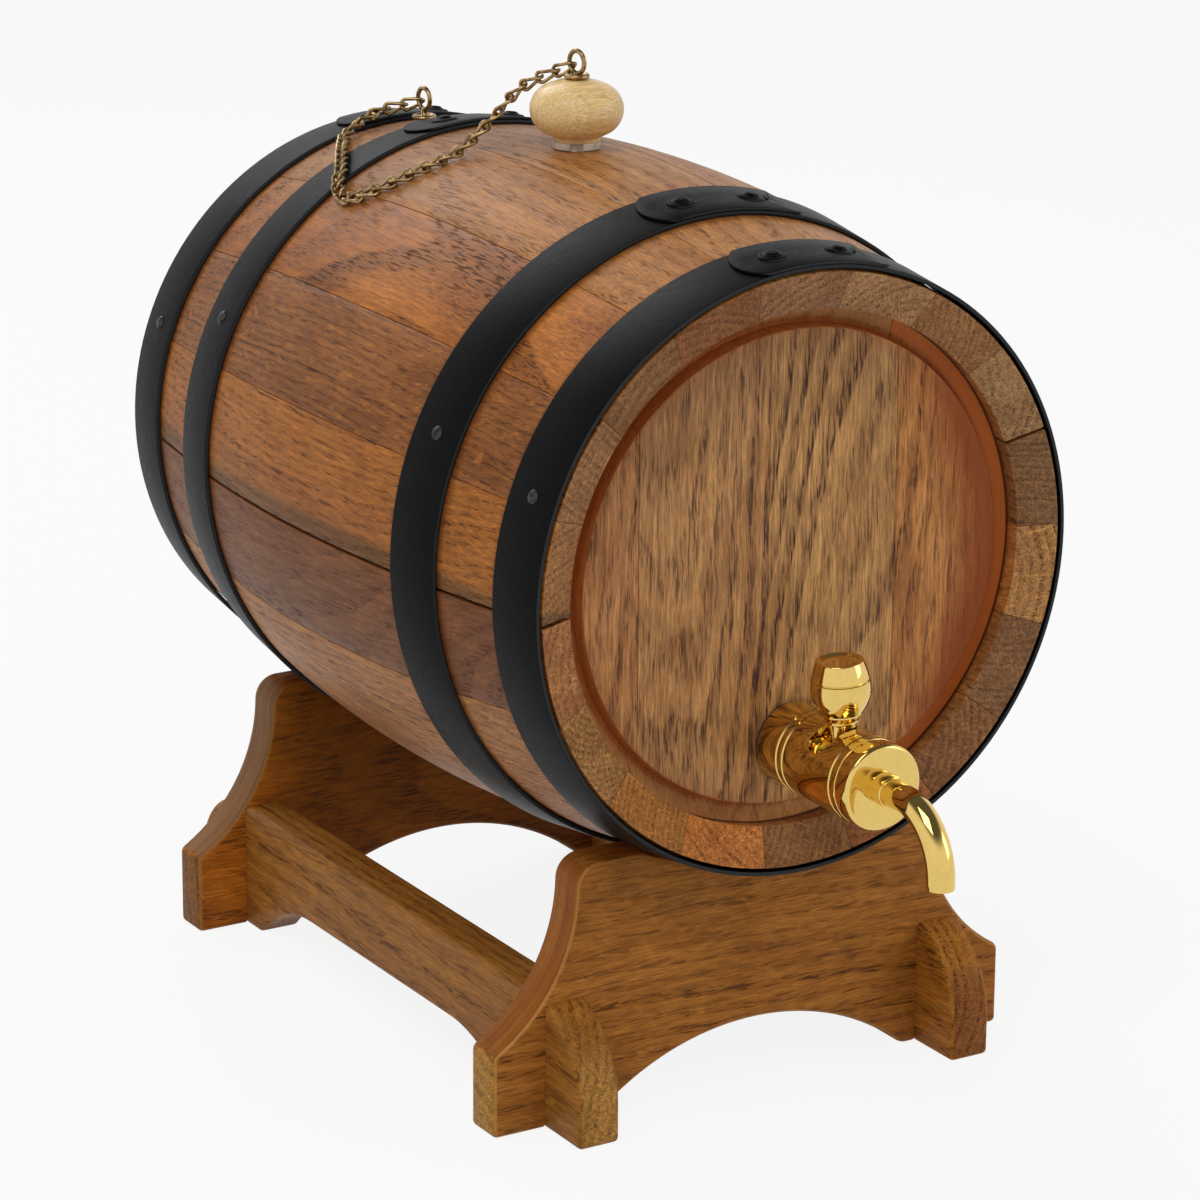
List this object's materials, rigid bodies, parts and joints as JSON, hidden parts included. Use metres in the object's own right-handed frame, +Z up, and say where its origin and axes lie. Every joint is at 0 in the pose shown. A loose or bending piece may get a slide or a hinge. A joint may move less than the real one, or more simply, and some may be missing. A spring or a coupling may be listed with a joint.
{
  "type": "cask drink dispenser",
  "caption": "Small oak keg on a halved oak cradle, with a lever tap in the front head and a turned bung held by a chain.",
  "frame": {"origin": "middle of the bounding box, on the table under the feet", "axes": "+Z up, the tap points along -Y, +X to the right of someone who faces the tap"},
  "size_m": [0.206, 0.3348, 0.302],
  "materials": {
    "stave_oak": "lacquered oak, satin",
    "head_oak": "lacquered oak, satin",
    "stand_oak": "honey oak, lacquered",
    "hoop_black": "satin black",
    "nail_steel": "dull steel",
    "bung_maple": "pale turned wood, satin",
    "stopper_pale": "matt",
    "tap_gold": "mirror polished",
    "chain_brass": "antique, dark in the recesses",
    "seal_rubber": "matt"
  },
  "bodies": {
    "stand": {"board_front": "stand_oak", "board_rear": "stand_oak", "rail_left": "stand_oak", "rail_right": "stand_oak"},
    "barrel": {"stave_01": "stave_oak", "stave_02": "stave_oak", "stave_03": "stave_oak", "stave_04": "stave_oak", "stave_05": "stave_oak", "stave_06": "stave_oak", "stave_07": "stave_oak", "stave_08": "stave_oak", "stave_09": "stave_oak", "stave_10": "stave_oak", "stave_11": "stave_oak", "stave_12": "stave_oak", "stave_13": "stave_oak", "stave_14": "stave_oak", "stave_15": "stave_oak", "stave_16": "stave_oak", "stave_17": "stave_oak", "stave_18": "stave_oak", "head_front_1": "head_oak", "head_front_2": "head_oak", "head_front_3": "head_oak", "head_front_4": "head_oak", "head_rear_1": "head_oak", "head_rear_2": "head_oak", "head_rear_3": "head_oak", "head_rear_4": "head_oak", "hoop_1": "hoop_black", "hoop_2": "hoop_black", "hoop_3": "hoop_black", "hoop_4": "hoop_black", "splice_plates": "hoop_black", "splice_rivets": "hoop_black", "hoop_nails": "nail_steel", "anchor_eye": "chain_brass", "tap_body": "tap_gold", "tap_cap": "tap_gold", "tap_spout": "tap_gold", "tap_washer": "seal_rubber", "tap_seal": "seal_rubber", "tap_nut": "tap_gold", "chain": "chain_brass"},
    "lever": {"valve_drum": "tap_gold", "lever_stem": "tap_gold", "lever_knob": "tap_gold"},
    "bung": {"bung_knob": "bung_maple", "bung_plug": "stopper_pale", "bung_eye": "chain_brass"}
  },
  "joints": [
    {"name": "barrel_lift", "type": "slide", "parent": "stand", "child": "barrel", "axis": [0, 0, 1], "range_m": [0, 0.1]},
    {"name": "lever_turn", "type": "hinge", "parent": "barrel", "child": "lever", "pos_m": [0, -0.1134, 0.1148], "axis": [0, -1, 0], "range_deg": [0, 36]},
    {"name": "bung_lift", "type": "slide", "parent": "barrel", "child": "bung", "axis": [0, 0, 1], "range_m": [0, 0.035], "deforming": ["chain"]}
  ]
}
